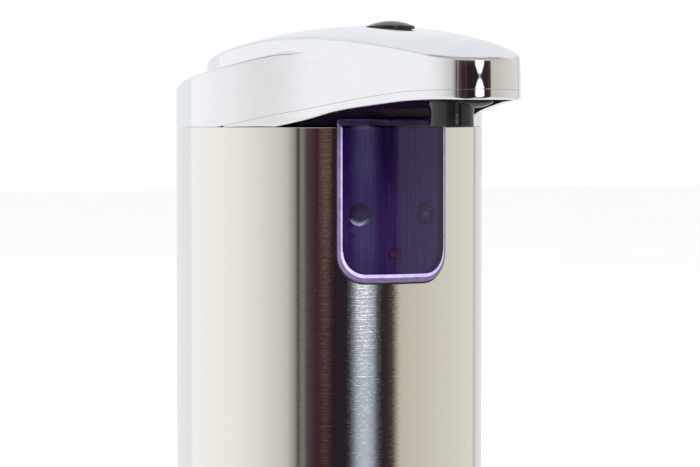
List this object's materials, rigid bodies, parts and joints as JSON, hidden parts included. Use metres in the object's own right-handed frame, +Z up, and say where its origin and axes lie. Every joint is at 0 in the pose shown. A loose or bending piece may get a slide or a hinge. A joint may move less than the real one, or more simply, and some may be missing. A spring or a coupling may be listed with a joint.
{
  "type": "automatic soap dispenser",
  "caption": "Touch-free countertop soap dispenser: round polished steel column, chrome head reaching forward as a spout, purple sensor window, black nozzle and top button.",
  "frame": {"origin": "centre of the foot pad's underside, on the surface that the dispenser stands on", "axes": "+Z up along the body's axis, the spout and the sensor window point along -Y, +X across the body"},
  "size_m": [0.076, 0.1243, 0.1872],
  "materials": {
    "chrome": "bright plated moulding",
    "steel_shell": "polished steel with fine level brushing",
    "black_gloss": "glossy moulded",
    "black_plastic": "fine matt texture",
    "purple_window": "clear tinted, polished",
    "white_plastic": "natural moulded",
    "clear_plastic": "clear moulded",
    "rubber": "soft moulded",
    "silicone": "milky, soft",
    "circuit_board": "solder mask",
    "zinc_steel": "zinc plated",
    "contact_metal": "nickel plated",
    "cell_sleeve": "printed sleeve, no marks",
    "dark_lens": "polished lens",
    "red_lamp": "clear red lens"
  },
  "bodies": {
    "housing": {"head_cover": "chrome", "head_trim": "chrome", "body_shell": "steel_shell", "spout_panel": "black_gloss", "nozzle": "black_gloss", "screw_plug": "black_gloss", "sensor_bracket": "black_gloss", "board_bracket": "black_plastic", "collar_ring": "black_plastic", "chassis": "black_plastic", "battery_plate": "black_plastic", "sensor_window": "purple_window", "nozzle_elbow": "white_plastic", "pump_housing": "white_plastic", "pump_cover": "white_plastic", "soap_tank": "clear_plastic", "tank_lid": "clear_plastic", "filler_neck": "clear_plastic", "shaft_seal": "rubber", "tank_seal": "rubber", "outlet_tube": "silicone", "button_board": "circuit_board", "main_board": "circuit_board", "sensor_board": "circuit_board", "spout_screw": "zinc_steel", "pump_screw_1": "zinc_steel", "pump_screw_2": "zinc_steel", "plate_screw_1": "zinc_steel", "plate_screw_2": "zinc_steel", "idler_pin": "zinc_steel", "motor": "zinc_steel", "button_switch": "zinc_steel", "battery_spring_1": "contact_metal", "battery_spring_2": "contact_metal", "battery_spring_3": "contact_metal", "battery_spring_4": "contact_metal", "bridge_contact_1": "contact_metal", "bridge_contact_2": "contact_metal", "top_contact_1": "contact_metal", "top_contact_2": "contact_metal", "top_contact_3": "contact_metal", "top_contact_4": "contact_metal", "battery_1": "cell_sleeve", "battery_2": "cell_sleeve", "battery_3": "cell_sleeve", "battery_4": "cell_sleeve", "ir_emitter": "dark_lens", "ir_receiver": "dark_lens", "status_led": "red_lamp"},
    "button": {"power_button": "black_gloss", "switch_plunger": "black_plastic"},
    "cap": {"refill_cap": "chrome", "refill_gasket": "rubber"},
    "base": {"base_cap": "black_plastic", "foot_pad": "rubber"},
    "drive": {"motor_shaft": "zinc_steel", "drive_gear": "white_plastic"},
    "idler": {"idler_gear": "white_plastic"}
  },
  "joints": [
    {"name": "button_press", "type": "slide", "parent": "housing", "child": "button", "axis": [0, 0, -1], "range_m": [0, 0.0008], "stiffness_N_per_m": 400},
    {"name": "refill_cap_lift", "type": "slide", "parent": "housing", "child": "cap", "axis": [0, 0, 1], "range_m": [0, 0.03]},
    {"name": "base_twist", "type": "hinge", "parent": "housing", "child": "base", "pos_m": [0, 0, 0.006], "axis": [0, 0, 1], "range_deg": [0, 30]},
    {"name": "drive_spin", "type": "hinge", "parent": "housing", "child": "drive", "pos_m": [0, 0, 0.0573], "axis": [0, 0, 1], "continuous": true},
    {"name": "idler_spin", "type": "hinge", "parent": "housing", "child": "idler", "pos_m": [0.0122, 0, 0.0573], "axis": [0, 0, 1], "continuous": true}
  ],
  "couplings": [
    {"joint": "idler_spin", "follows": "drive_spin", "ratio": -1}
  ]
}
